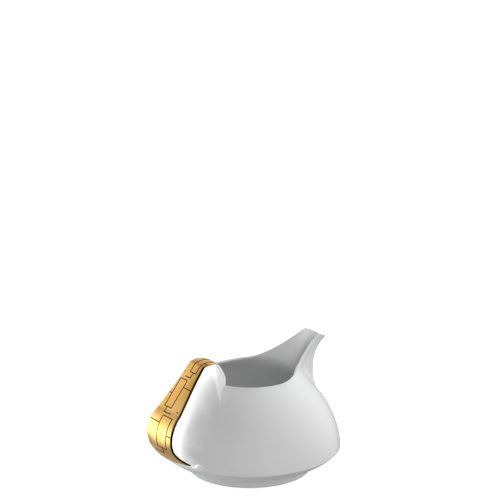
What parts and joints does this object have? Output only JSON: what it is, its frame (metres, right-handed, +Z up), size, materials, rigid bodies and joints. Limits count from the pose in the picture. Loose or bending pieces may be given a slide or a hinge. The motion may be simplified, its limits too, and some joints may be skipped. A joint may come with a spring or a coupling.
{
  "type": "porcelain cream jug",
  "caption": "Low domed porcelain cream jug with a tall pouring beak and a broad dished handle with a gilded, line-relief face.",
  "frame": {"origin": "in the resting plane of the foot, midway between the back of the handle and the nose of the spout", "axes": "+Z up, +X from the handle towards the spout, the XZ plane is the plane of symmetry"},
  "size_m": [0.1095, 0.1, 0.0707],
  "materials": {
    "glazed_porcelain": "glossy clear glaze over white porcelain",
    "gilding": "polished gold lustre on porcelain",
    "gilding_relief": "raised relief lines in darker gold",
    "bare_porcelain": "foot ring with a ground, unglazed edge"
  },
  "bodies": {
    "root": {"vessel": "glazed_porcelain", "spout": "glazed_porcelain", "handle": "glazed_porcelain", "gilded_band": "gilding", "band_relief": "gilding_relief", "foot_ring": "bare_porcelain"}
  },
  "joints": []
}
